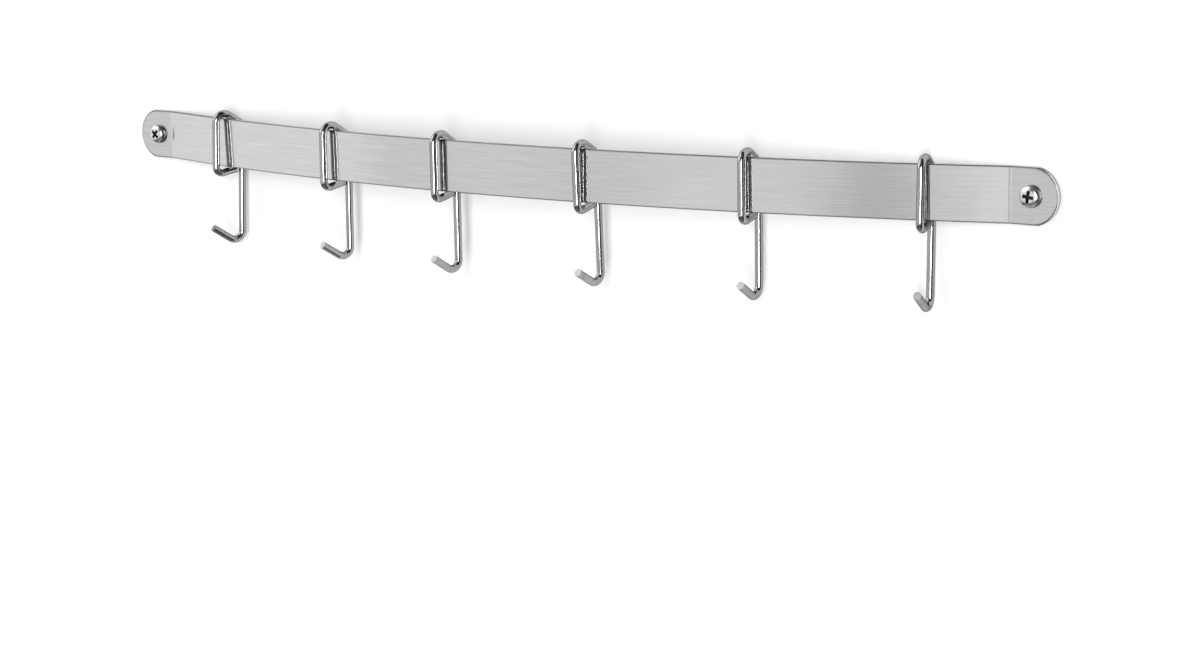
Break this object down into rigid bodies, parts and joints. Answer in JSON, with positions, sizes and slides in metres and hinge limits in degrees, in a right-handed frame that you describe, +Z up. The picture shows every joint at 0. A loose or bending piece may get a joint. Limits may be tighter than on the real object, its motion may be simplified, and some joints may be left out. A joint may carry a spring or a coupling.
{
  "type": "kitchen utensil rail",
  "caption": "Bowed flat steel rail that screws to a wall by a round tab at each end, with bent-wire hooks that clip round the strip and slide along it to hang utensils.",
  "frame": {"origin": "midway between the two wall screws, on the wall plane that the tabs' backs lie on", "axes": "+X along the rail to the right as the viewer sees it, +Y into the wall, +Z up"},
  "size_m": [0.4408, 0.0643, 0.0561],
  "materials": {
    "rail_steel": "brushed along its length",
    "screw_steel": "bright plated",
    "hook_steel": "polished"
  },
  "bodies": {
    "rail_body": {"rail": "rail_steel", "left_screw": "screw_steel", "right_screw": "screw_steel"},
    "hook_1_body": {"hook_1": "hook_steel"},
    "hook_2_body": {"hook_2": "hook_steel"},
    "hook_3_body": {"hook_3": "hook_steel"},
    "hook_4_body": {"hook_4": "hook_steel"},
    "hook_5_body": {"hook_5": "hook_steel"},
    "hook_6_body": {"hook_6": "hook_steel"}
  },
  "joints": [
    {"name": "hook_1_slide", "type": "hinge", "parent": "rail_body", "child": "hook_1_body", "pos_m": [0, 0.66307, 0], "axis": [0, 0, 1], "range_deg": [-1, 2.75]},
    {"name": "hook_2_slide", "type": "hinge", "parent": "rail_body", "child": "hook_2_body", "pos_m": [0, 0.66307, 0], "axis": [0, 0, 1], "range_deg": [-2.75, 2.3]},
    {"name": "hook_3_slide", "type": "hinge", "parent": "rail_body", "child": "hook_3_body", "pos_m": [0, 0.66307, 0], "axis": [0, 0, 1], "range_deg": [-2.3, 2.55]},
    {"name": "hook_4_slide", "type": "hinge", "parent": "rail_body", "child": "hook_4_body", "pos_m": [0, 0.66307, 0], "axis": [0, 0, 1], "range_deg": [-2.55, 2.6]},
    {"name": "hook_5_slide", "type": "hinge", "parent": "rail_body", "child": "hook_5_body", "pos_m": [0, 0.66307, 0], "axis": [0, 0, 1], "range_deg": [-2.6, 2.5]},
    {"name": "hook_6_slide", "type": "hinge", "parent": "rail_body", "child": "hook_6_body", "pos_m": [0, 0.66307, 0], "axis": [0, 0, 1], "range_deg": [-2.5, 0]}
  ]
}
